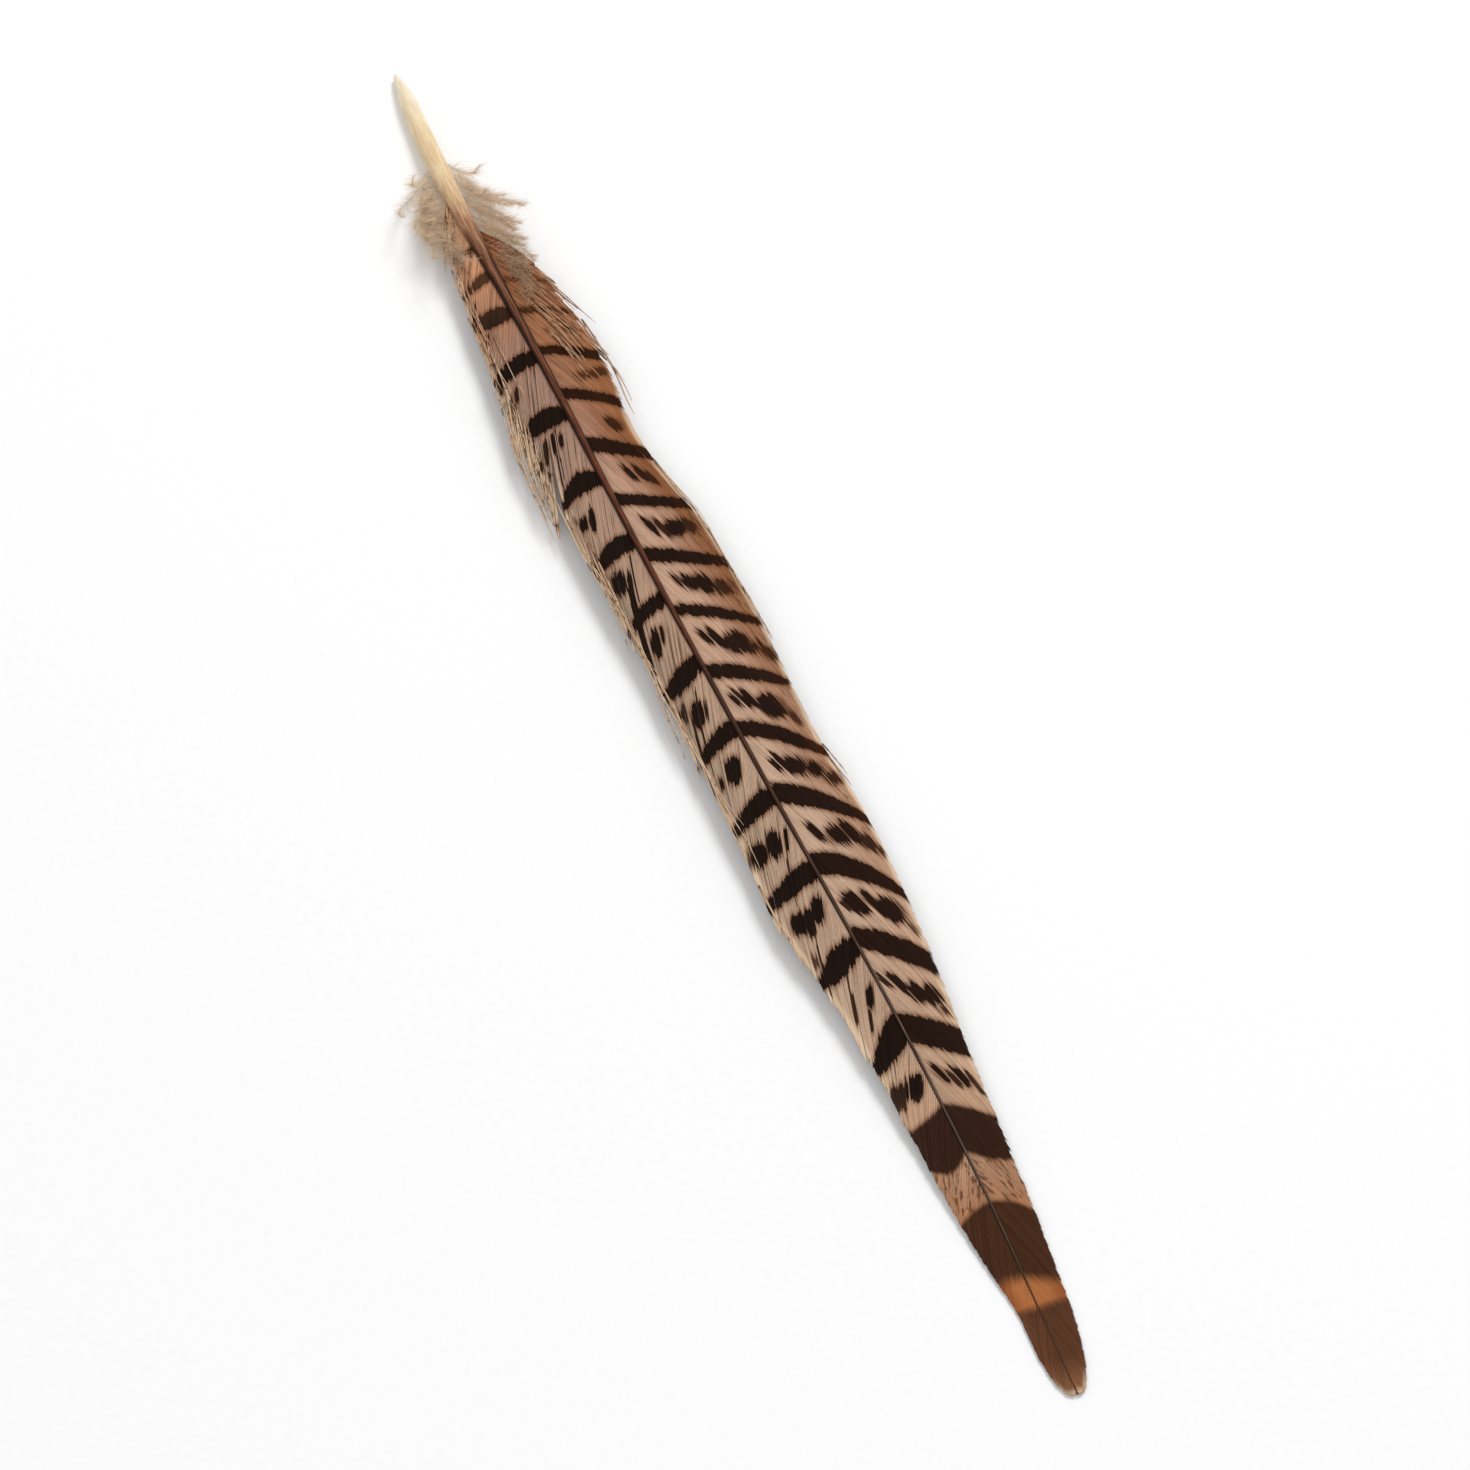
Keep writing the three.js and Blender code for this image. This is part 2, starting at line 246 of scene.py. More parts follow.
def wander(x, wavelength, seed):
    """A smooth random curve between about -1 and 1, with bumps of the given wavelength."""
    knots = np.random.default_rng(seed).uniform(-1, 1, int(LENGTH / wavelength) + 6)
    t = np.clip(np.asarray(x, float) / wavelength, 0, len(knots) - 2)
    i = np.minimum(t.astype(int), len(knots) - 2)
    f = t - i
    return knots[i] + (knots[i + 1] - knots[i]) * f * f * (3 - 2 * f)


def unit(vectors):
    return vectors / np.maximum(np.linalg.norm(vectors, axis=-1, keepdims=True), 1e-9)


def upward(across, forward):
    """The direction square to both of these that points up."""
    above = unit(np.cross(across, forward))
    return above * np.sign(above[..., 2:3])


# ---- the frame
def quill_end():
    """Where the quill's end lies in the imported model's frame, in metres."""
    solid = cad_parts["feather"].data
    points = np.array([v.co for v in solid.vertices])
    end = points[points[:, 0] < points[:, 0].min() + 0.05 * MM]
    return np.array([end[:, 0].min(), end[:, 1].mean(), 0])


ORIGIN = quill_end()
LOW_Y = (CAD_LOW.y - ORIGIN[1]) / MM
HIGH_Y = (CAD_HIGH.y - ORIGIN[1]) / MM
HIGH_Z = CAD_HIGH.z / MM


def to_frame(points):
    """Points of the feather in millimetres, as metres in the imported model's frame."""
    return ORIGIN + np.asarray(points, float) * MM


def within(points):
    """Soft ends that would leave the feather's own space are bent back into it."""
    points = points.copy()
    for axis, low, high in ((1, LOW_Y + 0.15, HIGH_Y - 0.15), (2, 0.05, HIGH_Z - 0.1)):
        middle, half = (low + high) / 2, (high - low) / 2
        start = 0.82 * half
        off = points[..., axis] - middle
        beyond = np.maximum(np.abs(off) - start, 0)
        bent = start + (half - start) * np.tanh(beyond / (half - start))
        points[..., axis] = middle + np.where(beyond > 0, np.sign(off) * bent, off)
    return points


# ---- meshes of many strands
def add_object(name, data):
    thing = bpy.data.objects.new(name, data)
    bpy.context.scene.collection.objects.link(thing)
    return thing


def strand_mesh(name, centres, across, above, widths, heights, section, values, cells):
    """One mesh of closed strands.

    centres, across and above are (strand, ring, 3), widths and heights are (strand, ring), and section
    holds the corners of a strand's cross-section as (share of half the width, share of the height). values
    are named numbers of each (strand, ring), or of each (strand, ring, corner). cells gives each strand's
    place in the unwrapping, as (low u, high u, low v, high v)."""
    strands, rings = widths.shape
    corners = len(section)
    side = np.array([s for s, _ in section])
    lift = np.array([h for _, h in section])
    points = (
        centres[:, :, None]
        + across[:, :, None] * (widths[:, :, None] / 2 * side)[..., None]
        + above[:, :, None] * (heights[:, :, None] * lift)[..., None]
    )
    index = np.arange(strands * rings * corners).reshape(strands, rings, corners)
    following = np.roll(index, -1, axis=2)
    quads = np.stack([index[:, :-1], following[:, :-1], following[:, 1:], index[:, 1:]], -1)
    starts = index[:, 0, ::-1]
    ends = index[:, -1]
    loops = np.concatenate([quads.reshape(-1), starts.reshape(-1), ends.reshape(-1)])
    sizes = np.concatenate([np.full(quads.size // 4, 4), np.full(2 * strands, corners)])

    mesh = bpy.data.meshes.new(name)
    mesh.vertices.add(index.size)
    mesh.vertices.foreach_set("co", to_frame(points).astype(np.float32).reshape(-1))
    mesh.loops.add(len(loops))
    mesh.loops.foreach_set("vertex_index", loops.astype(np.int32))
    mesh.polygons.add(len(sizes))
    mesh.polygons.foreach_set("loop_start", np.concatenate([[0], np.cumsum(sizes)[:-1]]).astype(np.int32))
    mesh.polygons.foreach_set("use_smooth", np.ones(len(sizes), bool))
    unwrap(mesh, strands, rings, corners, cells)
    for key, numbers in values.items():
        spread = numbers if numbers.ndim == 3 else np.repeat(numbers[:, :, None], corners, axis=2)
        layer = mesh.attributes.new(key, "FLOAT", "POINT")
        layer.data.foreach_set("value", spread.astype(np.float32).reshape(-1))
    mesh.update(calc_edges=True)
    mesh.validate()
    return add_object(name, mesh)


def unwrap(mesh, strands, rings, corners, cells):
    """Lays each strand's sides next to each other in its own cell, with its two ends beyond them."""
    low_u, high_u, low_v, high_v = [cells[:, i][:, None, None] for i in range(4)]
    around = np.arange(corners + 1) / corners
    u = low_u + (high_u - low_u) * (0.04 + 0.92 * around)
    v = low_v + (high_v - low_v) * np.linspace(0.03, 0.97, rings)
    u0, u1 = u[..., :-1], u[..., 1:]
    v0, v1 = v[..., :-1].transpose(0, 2, 1), v[..., 1:].transpose(0, 2, 1)
    shape = (strands, rings - 1, corners)
    quads = np.stack(
        [np.broadcast_to(part, shape) for part in (u0, v0, u1, v0, u1, v1, u0, v1)], -1)
    turn = np.arange(corners) * 2 * math.pi / corners
    small_u = (high_u - low_u)[..., 0] * 0.3
    small_v = (high_v - low_v)[..., 0] * 0.01
    middle_u = (high_u + low_u)[..., 0] / 2
    caps = []
    for at, way in ((0.012, -1), (0.988, 1)):
        centre_v = (low_v + (high_v - low_v) * at)[..., 0]
        cap_v = centre_v + way * small_v * np.sin(turn)
        caps.append(np.stack([middle_u + small_u * np.cos(turn), cap_v], -1))
    layer = mesh.uv_layers.new(name="OFBake")
    flat = np.concatenate([quads.reshape(-1), caps[0].reshape(-1), caps[1].reshape(-1)])
    layer.data.foreach_set("uv", flat.astype(np.float32))


def side_by_side(count):
    """A cell for each of many strands, side by side over the whole square."""
    low = np.arange(count) / count
    return np.stack([low, low + 1 / count, np.zeros(count), np.ones(count)], -1)


def in_rows(count, columns):
    """A cell for each of many strands, in rows of so many columns."""
    rows = math.ceil(count / columns)
    at = np.arange(count)
    u, v = at % columns / columns, at // columns / rows
    return np.stack([u, u + 1 / columns, v, v + 1 / rows], -1)


# ---- the shaft
def make_shaft():
    """The quill and the rachis: a tapered rod, round at the quill, then deeper and grooved beneath."""
    rings, corners = 420, 24
    x = SHAFT_END * np.linspace(0, 1, rings) ** 1.35
    width = value_at(SHAFT_WIDTH, x)
    depth = width * value_at(SHAFT_DEPTH, x)
    y = value_at(SHAFT_BOW, x)
    z = np.maximum(value_at(SHAFT_HEIGHT, x) + 0.12, depth / 2 + 0.03)
    centres = np.stack([x, y, z], -1)
    forward = unit(np.gradient(centres, axis=0))
    across = unit(np.cross(np.array([0, 0, 1.0]), forward))
    above = unit(np.cross(forward, across))

    angle = np.arange(corners) * 2 * math.pi / corners
    beneath = np.exp(-((np.sin(angle) + 1) / 0.16) ** 2)
    groove = smooth(40, 60, x)[:, None] * 0.34 * beneath
    squared = smooth(40, 90, x)[:, None] * 0.10 * np.cos(2 * angle) ** 2
    furrow = 0.012 * np.sin(9 * angle + 1.3)[None] * smooth(6, 14, x)[:, None]
    bulge = 1 - groove + squared + furrow
    points = (
        centres[:, None] + across[:, None] * (width[:, None] / 2 * np.cos(angle) * bulge)[..., None]
        + above[:, None] * (depth[:, None] / 2 * np.sin(angle) * bulge)[..., None]
    )
    points[..., 0] = np.maximum(points[..., 0], 0.01)
    points[..., 2] = np.maximum(points[..., 2], 0.01)
    values = {
        "station": np.repeat(x[None, :, None], corners, axis=2),
        "around": np.repeat(np.cos(angle)[None, None], rings, axis=1),
        "upper": np.repeat(np.sin(angle)[None, None], rings, axis=1),
    }
    ones = np.ones((1, rings))
    section = list(zip(np.cos(angle), np.sin(angle)))
    piece = strand_mesh(
        "shaft", centres[None], across[None], above[None], ones, ones, section, values, side_by_side(1))
    # The rod is no plain ellipse, so its own points take the place of the strand's.
    piece.data.vertices.foreach_set("co", to_frame(points).astype(np.float32).reshape(-1))
    piece.data.update()
    return piece


# ---- the vanes
def vane_surface(vane, station, out, lift):
    """Points so many mm along the shaft, out from it, and above a vane's cambered sheet."""
    widest = np.maximum(value_at(vane["margin"], station), 1)
    droop = value_at(CAMBER, station) * np.minimum(np.abs(out) / widest, 1.2) ** CAMBER_POWER
    z = value_at(SHAFT_HEIGHT, station) - droop + lift
    y = vane["side"] * out + value_at(SHAFT_BOW, station)
    return np.stack([station, y, np.maximum(z, 0.03)], -1)


def barb_line(vane, root, far):
    """How far along the shaft, and out from it, the share far of the way along the barb from root lies."""
    run = value_at(vane["run"], root)
    along = root + run * far * (1 - BARB_SWEEP * (1 - far))
    out = value_at(vane["margin"], root + run) * far * (1 + BARB_SPREAD * (1 - far))
    return along, out


def flocks(count, smallest, largest, source):
    """Neighbouring barbs that cling together: each barb's group, and its place in it from -1 to 1."""
    group, place = np.zeros(count, int), np.zeros(count)
    start, number = 0, 0
    while start < count:
        size = int(source.integers(smallest, largest + 1))
        stop = min(start + size, count)
        group[start:stop] = number
        place[start:stop] = np.linspace(-1, 1, stop - start) if stop - start > 1 else 0
        start, number = stop, number + 1
    return group, place


def bar_distance(vane, station, out):
    """How many mm along the shaft a point lies outside the nearest bar; negative within one."""
    share = np.clip(out / value_at(vane["margin"], station), 0, 1.12)
    nearest = np.full(station.shape, 99.0)
    for bar in vane["bars"]:
        width = np.maximum(through(bar[3:], share), 0.3)
        nearest = np.minimum(nearest, np.abs(station - through(bar[:3], share)) - width / 2)
    return nearest


def blotch_distance(vane, station, out):
    """How many mm along the barb a point lies outside the nearest blotch, and that blotch's strength."""
    angle = np.arctan2(np.gradient(out, axis=1), np.gradient(station, axis=1))
    nearest, strength = np.full(station.shape, 99.0), np.ones(station.shape)
    for at, off, length, width, *weaker in vane["blotches"]:
        forward, outward = station - at - BLOTCH_SHIFT, out - off
        along = forward * np.cos(angle) + outward * np.sin(angle)
        across = outward * np.cos(angle) - forward * np.sin(angle)
        reach = np.abs(2 * along / length) ** BLOTCH_POWER + np.abs(2 * across / width) ** BLOTCH_POWER
        distance = (reach ** (1 / BLOTCH_POWER) - 1) * length / 2
        strength = np.where(distance < nearest, weaker[0] if weaker else 1, strength)
        nearest = np.minimum(nearest, distance)
    return nearest, strength


def make_vane(vane):
    """Several hundred barbs, each a closed strand with a ridge, overlapping on the sheet of the vane."""
    source = np.random.default_rng(vane["seed"])
    first, last = vane["roots"]
    root = np.arange(first, last, BARB_PITCH)
    count = len(root)
    chance = source.uniform(0, 1, count)
    group, place = flocks(count, *FLOCK_SIZES, source)
    group_chance = source.uniform(0, 1, group.max() + 1)[group]
    loose = 1 - smooth(first, vane["loose_to"], root)

    # A barb stops a little short or runs a little long. A flock's middle barbs run longest.
    length = 1 + 0.007 * source.normal(size=count) + 0.012 * (group_chance - 0.5) - 0.01 * place ** 2
    length = length + loose * source.uniform(-0.3, 0, count) + 0.007 * wander(root, 5, vane["seed"] + 1)
    share = np.linspace(0, 1, BARB_RINGS)
    far = length[:, None] * share[None]

    # Flocks draw together towards the margin, so the grooves between them show.
    squeeze = vane["cling"] * (0.3 + group_chance) * BARB_PITCH
    shifted = root[:, None] - (place * squeeze)[:, None] * smooth(0.35, 1, share)[None]
    station, out = barb_line(vane, shifted, far)
    # Where the vane has come unzipped, the barbs nearer the quill stand off, each by its own amount.
    for at, opening in vane["partings"]:
        behind = np.where(root < at, np.exp(-(at - root) / PARTING_REACH), 0)
        fray = 1 - 0.55 * source.uniform(0, 1, count) * min(opening, 1)
        out = out + opening * (behind * fray)[:, None] * far ** 3
    waves = 0.08 * wander(root, 5, vane["seed"] + 2) + 0.012 * source.normal(size=count)
    out = out + waves[:, None] * far ** 1.5
    stray = loose * source.normal(size=count)
    out = out * (1 + vane["stray"] * stray[:, None] * far)
    out = out + 0.3 * value_at(SHAFT_WIDTH, root)[:, None] * (1 - share)[None]
    station = np.minimum(station, SHAFT_END - 0.15 + 0.1 * chance[:, None] - TIP_ROUNDING * out ** 2)

    # Flocks lie a little above or below each other, and loose barbs rise off the sheet.
    lift = 0.08 + 0.02 * (group_chance - 0.5)[:, None] * far
    lift = lift + 0.05 * wander(root, 8, vane["seed"] + 3)[:, None]
    lift = lift + (loose * (0.5 + 0.35 * wander(root, 2.5, vane["seed"] + 4)))[:, None] * far ** 2
    lift = lift - 0.01 * place[:, None] * smooth(0.1, 0.6, share)[None]
    centres = within(vane_surface(vane, station, out, lift))

    # Neighbouring barbs fix how wide each is, and which way is across it.
    forward = unit(np.gradient(centres, axis=1))
    to_next = np.gradient(centres, axis=0)
    to_next = to_next - (to_next * forward).sum(-1, keepdims=True) * forward
    pitch = np.linalg.norm(to_next, axis=-1)
    usual = np.median(pitch, axis=1, keepdims=True)
    pitch = np.clip(pitch, 0.55 * usual, 2.2 * usual)
    across = unit(to_next)
    tilt = math.radians(BARB_TILT)
    across = across * math.cos(tilt) + upward(across, forward) * math.sin(tilt)
    above = upward(across, forward)

    taper = 1 - 0.6 * smooth(0.965, 1, share)[None]
    slack = loose[:, None] * (0.3 * smooth(0.1, 0.5, share) - 0.25 * smooth(0.7, 1, share))[None]
    widths = (np.clip(pitch * BARB_OVERLAP, *BARB_WIDTHS) + slack) * taper * (0.94 + 0.12 * chance[:, None])
    heights = np.clip(0.28 * widths, 0.02, 0.09)
    section = [(-1, -0.5), (0, 0.75), (1, -0.5)]
    if vane["side"] > 0:
        section = section[::-1]

    blotch, strength = blotch_distance(vane, station, out)
    whole = np.ones((count, BARB_RINGS))
    values = {
        "station": station, "out": out, "root": root[:, None] * whole,
        "bar": bar_distance(vane, station, out), "blotch": blotch, "strength": strength,
        "margin": np.clip(value_at(vane["margin"], station) - out, 0, 12),
        "chance": chance[:, None] * whole, "flock": group_chance[:, None] * whole,
        # seam and rim mark flock borders and barb edges, where the material paints shade into the grooves.
        "seam": (np.abs(place) > 0.99).astype(float)[:, None] * whole,
        "rim": np.broadcast_to([1, 0, 1], (count, BARB_RINGS, 3)),
    }
    return strand_mesh(
        vane["name"], centres, across, above, widths, heights, section, values, side_by_side(count))


# ---- loose barbs
# A loose barb that the eye picks out: where it starts (mm along, mm out), its length, the degrees at which
# it leaves the shaft's line, the degrees it turns on its way, and how far it rises.
SINGLE_BARBS = {
    "wide_vane": [
        (47, 1.6, 14, 24, -8, 0.5), (45, 1.2, 12, 30, -10, 0.6), (61.5, 3.2, 7.5, 8, 4, 0.5),
        (62.5, 3.5, 8, 10, 3, 0.6), (63, 4.2, 7.5, 9, 2, 0.4), (51, 5.8, 18, 14, -6, 0.5),
        (60, 8.6, 18, 7, -8, 0.3), (68, 9.4, 13, 1, -5, 0.3), (89.5, 8.2, 15, 13, -6, 0.5),
        (91, 8.3, 15, 12, -5, 0.4), (92, 8.7, 15, 9, -6, 0.3), (105, 10.9, 22, 2, 0, 0.1),
        (148.5, 10.3, 6.5, 14, 8, 0.5), (151, 10.2, 6, 9, 4, 0.3), (112, 11, 16, 3, -1, 0.1)],
    "narrow_vane": [
        (45, 4.8, 22, 4, -2, 0.3), (54, 6.2, 17, 3, -3, 0.3), (88, 7, 30, -1, 0, 0.1),
        (96, 6.7, 32, -2, 1, 0.1), (119, 6.1, 32, 0, 1, 0.1), (134, 6, 26, 0, 1, 0.1),
        (168, 7.1, 16, 2, -3, 0.1)],
}
# Others lie by chance: their vane and number, then the ranges of where they start along and out and of
# their length, the degrees at which they leave and turn, and the range of their rise.
SCATTERED_BARBS = [
    (NARROW_VANE, 26, (66, 82), (5.6, 7.3), (10, 19), 12, -5, (0, 0.6)),
    (NARROW_VANE, 12, (44, 66), (4.2, 6), (9, 16), 6, -4, (0, 0.4)),
    (NARROW_VANE, 12, (88, 150), (5.2, 6), (14, 26), 2, -1, (0, 0.15)),
    (WIDE_VANE, 26, (41, 60), (1, 5.6), (8, 17), 20, -10, (0.2, 1.2)),
    (NARROW_VANE, 14, (32, 43), (0.9, 3.2), (7, 12), 18, -9, (0.2, 1)),
]


def strand_frames(centres):
    """Across and above directions for free strands."""
    forward = unit(np.gradient(centres, axis=1))
    across = unit(np.cross(np.array([0, 0, 1.0]) + 0 * forward, forward))
    return across, unit(np.cross(forward, across))


def curved_strands(vane, source, start, out, length, leave, turn, lift, rise):
    """Free barbs that leave a vane at an angle and curve away. Angles are in degrees from the shaft."""
    rings = 16
    share = np.linspace(0, 1, rings)[None]
    angle = np.radians(leave)[:, None] + np.radians(turn)[:, None] * share
    angle = angle + 0.08 * np.sin(share * 7 + source.uniform(0, 6, len(start))[:, None]) * share
    step = length[:, None] / (rings - 1)
    along = start[:, None] + np.cumsum(np.cos(angle), axis=1) * step
    away = out[:, None] + np.cumsum(np.sin(angle), axis=1) * step
    points = vane_surface(vane, along, away, lift[:, None] + rise[:, None] * share ** 1.6)
    return within(points), along


def make_loose_barbs():
    """Single barbs that have come unhooked: frayed hairs, and strands lying along the margins."""
    source = np.random.default_rng(71)
    parts = []
    for vane in (WIDE_VANE, NARROW_VANE):
        start, out, length, leave, turn, rise = np.array(SINGLE_BARBS[vane["name"]], float).T
        lift = np.full(len(start), 0.28)
        parts.append(curved_strands(vane, source, start, out, length, leave, turn, lift, rise))
    for vane, count, roots, outs, lengths, leave, turn, rises in SCATTERED_BARBS:
        parts.append(curved_strands(
            vane, source, source.uniform(*roots, count), source.uniform(*outs, count),
            source.uniform(*lengths, count), source.normal(leave, 3, count), np.full(count, turn),
            source.uniform(0.12, 0.35, count), source.uniform(*rises, count)))
    centres = np.concatenate([p[0] for p in parts])
    along = np.concatenate([p[1] for p in parts])
    across, above = strand_frames(centres)
    count, rings = along.shape
    share = np.linspace(0, 1, rings)[None] * np.ones((count, 1))
    chance = source.uniform(0, 1, count)[:, None] * np.ones((1, rings))
    widths = LOOSE_BARB_WIDTH * (0.6 + 0.55 * chance) * (1 - 0.7 * share ** 2)
    section = [(-1, -0.4), (1, -0.4), (0, 0.7)]
    values = {"station": along, "share": share, "chance": chance}
    return strand_mesh(
        "loose_barbs", centres, across, above, widths, widths * 0.6, section, values, in_rows(count, 12))


# ---- down
def down_stems(side, source):
    """The curling stems of the plumes of down on one side of the shaft."""
    rings, plumes = 18, DOWN_PLUMES
    order = np.linspace(0, 1, plumes)
    first, last = DOWN_ROOTS[side]
    root = first + (last - first) * order + source.normal(0, 0.6, plumes)
    length = source.uniform(*DOWN_LENGTH, plumes) * (1 - 0.12 * order - 0.35 * np.exp(-9 * order))
    lean = np.radians(50 - 12 * order + source.normal(0, 6, plumes))
    rise = source.uniform(0.2, 5.4, plumes) * (1 - 0.3 * order)
    sag = 1.5 * (1 - order)
    share = np.linspace(0, 1, rings)[None]
    wave = 0.22 * np.sin(share * 5 + source.uniform(0, 6, plumes)[:, None])
    angle = lean[:, None] - 0.85 * share + wave * share
    step = length[:, None] / (rings - 1)
    along = root[:, None] + np.cumsum(np.cos(angle) * step, axis=1)
    out = 0.35 * value_at(SHAFT_WIDTH, root)[:, None] + np.cumsum(np.sin(angle) * step, axis=1)
    base = value_at(SHAFT_HEIGHT, root)[:, None] - 0.1
    curl = rise[:, None] * share ** 2 - sag[:, None] * np.sin(math.pi * share)
    z = np.maximum(base + curl, 0.25)
    return np.stack([along, side * out + value_at(SHAFT_BOW, along), z], -1)


def down_barbules(stems, source):
    """The fine soft barbules of the plumes: they leave their stem on both sides, droop, and wander."""
    count, stem_rings = stems.shape[:2]
    at = np.linspace(0.04, 0.99, DOWN_BARBULES)
    ring = at * (stem_rings - 1)
    low = np.floor(ring).astype(int)
    part = (ring - low)[None, :, None]
    starts = stems[:, low] * (1 - part) + stems[:, np.minimum(low + 1, stem_rings - 1)] * part
    forward = unit(np.gradient(stems, axis=1))[:, low]
    sideways = unit(np.cross(np.array([0, 0, 1.0]) + 0 * forward, forward))
    rings = 5
    share = np.linspace(0, 1, rings)
    fluff = []
    for way in (1, -1):
        shape = (count, DOWN_BARBULES)
        size = DOWN_BARBULE_LENGTH * source.uniform(0.5, 1.2, shape) * (1 - 0.5 * at ** 1.5)[None]
        tilt = source.normal(0.1, 0.5, shape)
        curl = source.normal(-0.25, 0.6, shape)
        opening = 0.7 + 0.28 * source.normal(size=shape)
        path = [starts]
        for k in range(1, rings):
            turn = (opening + curl * share[k])[..., None]
            heading = forward * np.cos(turn) + way * sideways * np.sin(turn)
            heading = unit(heading + np.array([0, 0, 1.0]) * (tilt * (1 - 0.8 * share[k]))[..., None])
            path.append(path[-1] + heading * (size / (rings - 1))[..., None])
        fluff.append(np.stack(path, 2).reshape(-1, rings, 3))
    return np.concatenate(fluff)


def soft_strands(name, lines, thick, columns, source):
    """Fine free strands along the lines, as one piece."""
    lines = within(lines)
    across, above = strand_frames(lines)
    count, rings = lines.shape[:2]
    share = np.linspace(0, 1, rings)[None] * np.ones((count, 1))
    chance = source.uniform(0, 1, count)[:, None] * np.ones((1, rings))
    widths = thick * (1 - 0.7 * share) * (0.8 + 0.4 * chance)
    section = [(-1, -0.4), (1, -0.4), (0, 0.8)]
    values = {"station": lines[..., 0], "share": share, "chance": chance}
    return strand_mesh(name, lines, across, above, widths, widths, section, values, in_rows(count, columns))


def make_down():
    """Plumes of down on both sides of the shaft: one piece of stems, and one of barbules for each side."""
    source = np.random.default_rng(5)
    both = {"wide": down_stems(1, source), "narrow": down_stems(-1, source)}
    pieces = [soft_strands("down_stems", np.concatenate(list(both.values())), DOWN_STEM_WIDTH, 6, source)]
    for name, stems in both.items():
        barbules = down_barbules(stems, source)
        pieces.append(soft_strands("down_barbules_" + name, barbules, DOWN_BARBULE_WIDTH, 64, source))
    return pieces


# ---- materials
def linear(colour):
    """The linear numbers of a shader for a colour as the eye gives it, 0 to 255."""
    shares = [c / 255 for c in colour]
    return [c / 12.92 if c <= 0.04045 else ((c + 0.055) / 1.055) ** 2.4 for c in shares]


class Shader:
    """A material's node tree, built from short calls. Numbers, colours and sockets all serve as inputs."""

    def __init__(self, name, roughness, specular):
        self.material = bpy.data.materials.new(name)
        self.material.use_nodes = True
        self.tree = self.material.node_tree
        self.tree.nodes.clear()
        self.surface = self.node("BsdfPrincipled", {"Roughness": roughness, "Specular IOR Level": specular})
        self.node("OutputMaterial", {"Surface": self.surface.outputs["BSDF"]})

    def put(self, value, socket):
        if isinstance(value, bpy.types.NodeSocket):
            self.tree.links.new(value, socket)
        elif isinstance(value, tuple):
            socket.default_value = (*linear(value), 1)
        else:
            socket.default_value = value

    def node(self, kind, inputs, **settings):
        """A new node with these settings, and with inputs by name or number."""
        node = self.tree.nodes.new("ShaderNode" + kind)
        for key, value in settings.items():
            setattr(node, key, value)
        for key, value in inputs.items():
            self.put(value, node.inputs[key])
        return node

    def attributes(self, *names):
        """The numbers of those names that the strands carry."""
        return [self.node("Attribute", {}, attribute_name=name).outputs["Fac"] for name in names]

    def math(self, operation, *values, clamp=False):
        node = self.node("Math", dict(enumerate(values)), operation=operation, use_clamp=clamp)
        return node.outputs[0]

    def add(self, *values):
        total = values[0]
        for value in values[1:]:
            total = self.math("ADD", total, value)
        return total

    def times(self, *values):
        total = values[0]
        for value in values[1:]:
            total = self.math("MULTIPLY", total, value)
        return total

    def minus(self, a, b):
        return self.math("SUBTRACT", a, b)

    def larger(self, a, b):
        return self.math("MAXIMUM", a, b)

    def swing(self, value, size):
        """A number from 0 to 1, made to swing about 0 by so much in all."""
        return self.times(self.minus(value, 0.5), size)

    def step(self, value, low, high):
        """0 below low, 1 above high, eased between. With low above high it runs the other way."""
        node = self.node("MapRange", {
            "Value": value, "From Min": min(low, high), "From Max": max(low, high),
            "To Min": float(low > high), "To Max": float(low < high)}, interpolation_type="SMOOTHSTEP")
        return node.outputs["Result"]

    def between(self, value, low, high, soft):
        """1 between low and high, falling to 0 over the soft distance beyond each of them."""
        return self.times(self.step(value, low - soft, low), self.step(value, high + soft, high))

    def noise(self, x, per_x, y, per_y, detail=2, roughness=0.5, z=0):
        """Noise from about 0 to 1, with so many features per unit of x and of y. z picks another one."""
        place = self.node("CombineXYZ", {0: self.times(x, per_x), 1: self.times(y, per_y), 2: z})
        inputs = {"Vector": place.outputs[0], "Scale": 1, "Detail": detail, "Roughness": roughness}
        return self.node("TexNoise", inputs).outputs[0]

    def mix_value(self, amount, a, b):
        """The number a where amount is 0, b where it is 1."""
        return self.node("Mix", {"Factor": amount, 2: a, 3: b}).outputs[0]

    def mix(self, amount, a, b, kind="MIX"):
        """The colour a where amount is 0, b where it is 1. kind names another way to join them."""
        node = self.node("Mix", {"Factor": amount, 6: a, 7: b}, data_type="RGBA", blend_type=kind)
        return node.outputs[2]

    def scale(self, colour, *shares):
        """The colour times a number, or its linear red, green and blue times one each."""
        node = self.node("CombineColor", {i: shares[i % len(shares)] for i in range(3)})
        return self.mix(1, colour, node.outputs[0], "MULTIPLY")

    def ramp(self, station, stops):
        """Colours along the shaft, as rows of distance from the quill's end, red, green and blue."""
        node = self.node("ValToRGB", {"Fac": self.times(station, 1 / LENGTH)})
        elements = node.color_ramp.elements
        while len(elements) < len(stops):
            elements.new(0.5)
        for element, (at, *colour) in zip(elements, stops):
            element.position = at / LENGTH
            element.color = (*linear(colour), 1)
        return node.outputs["Color"]

    def bump(self, height, distance, strength):
        node = self.node("Bump", {"Strength": strength, "Distance": distance, "Height": height})
        self.put(node.outputs["Normal"], self.surface.inputs["Normal"])

    def colour(self, value):
        self.put(value, self.surface.inputs["Base Color"])


